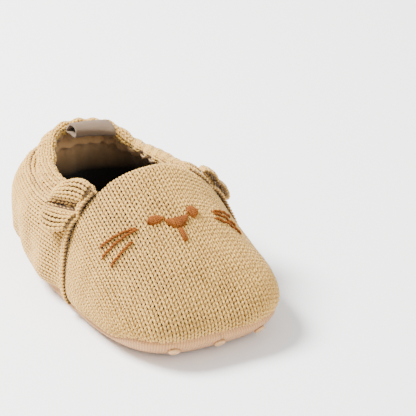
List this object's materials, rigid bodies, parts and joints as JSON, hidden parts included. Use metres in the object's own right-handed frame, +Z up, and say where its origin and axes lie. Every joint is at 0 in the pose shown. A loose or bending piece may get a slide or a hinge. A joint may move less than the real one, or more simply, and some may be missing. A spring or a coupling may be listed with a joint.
{
  "type": "baby bootie",
  "caption": "Soft knitted baby bootie with an embroidered animal face, two floppy ears, an elastic heel collar with a pull tab and a dotted grip sole.",
  "frame": {"origin": "the sole_rest mount: the middle of the sole, on the surface that its grip dots stand on", "axes": "+Z up, -Y toward the toe, +Y toward the heel, -X the wearer's right"},
  "size_m": [0.0891, 0.124, 0.0565],
  "materials": {
    "knit": "soft matte cotton stockinette knit",
    "lining": "matte brushed cotton",
    "elastic": "matte woven elastic",
    "ribbon": "low-sheen twill ribbon",
    "thread": "satin embroidery thread",
    "sole_fabric": "matte fine-ribbed woven cotton",
    "silicone": "soft satin translucent silicone",
    "foam": "matte open-cell foam"
  },
  "bodies": {
    "shoe": {"grip_dot_1_big": "silicone", "grip_dot_1_small_1": "silicone", "grip_dot_1_small_2": "silicone", "grip_dot_1_small_3": "silicone", "grip_dot_1_small_4": "silicone", "grip_dot_1_small_5": "silicone", "grip_dot_1_small_6": "silicone", "grip_dot_2_big": "silicone", "grip_dot_2_small_1": "silicone", "grip_dot_2_small_2": "silicone", "grip_dot_2_small_3": "silicone", "grip_dot_2_small_4": "silicone", "grip_dot_2_small_5": "silicone", "grip_dot_2_small_6": "silicone", "grip_dot_3_big": "silicone", "grip_dot_3_small_1": "silicone", "grip_dot_3_small_2": "silicone", "grip_dot_3_small_3": "silicone", "grip_dot_3_small_4": "silicone", "grip_dot_3_small_5": "silicone", "grip_dot_3_small_6": "silicone", "grip_dot_toe_1": "silicone", "grip_dot_toe_2": "silicone", "grip_dot_toe_3": "silicone", "insole_cover": "lining", "insole_foam": "foam", "left_eye": "thread", "left_whisker_1": "thread", "left_whisker_2": "thread", "left_whisker_3": "thread", "nose": "thread", "nose_stem": "thread", "outsole_fabric": "sole_fabric", "quarter_knit": "knit", "quarter_lining": "lining", "right_eye": "thread", "right_whisker_1": "thread", "right_whisker_2": "thread", "right_whisker_3": "thread", "topline_elastic": "elastic", "vamp_knit": "knit", "vamp_lining": "lining"},
    "right_ear": {"right_ear_front": "knit", "right_ear_back": "knit"},
    "left_ear": {"left_ear_front": "knit", "left_ear_back": "knit"},
    "heel_tab": {"heel_tab": "ribbon"}
  },
  "joints": [
    {"name": "right_ear_flop", "type": "hinge", "parent": "shoe", "child": "right_ear", "pos_m": [-0.02994, -0.00734, 0.04262], "axis": [0.5809, 0, 0.814], "range_deg": [-4, 50], "stiffness_Nm_per_rad": 0.005},
    {"name": "left_ear_flop", "type": "hinge", "parent": "shoe", "child": "left_ear", "pos_m": [0.03061, -0.00734, 0.04262], "axis": [0.5809, 0, -0.814], "range_deg": [-4, 50], "stiffness_Nm_per_rad": 0.005},
    {"name": "heel_tab_flip", "type": "hinge", "parent": "shoe", "child": "heel_tab", "pos_m": [-0.00208, 0.04619, 0.0509], "axis": [-1, 0, 0], "range_deg": [0, 80]}
  ]
}
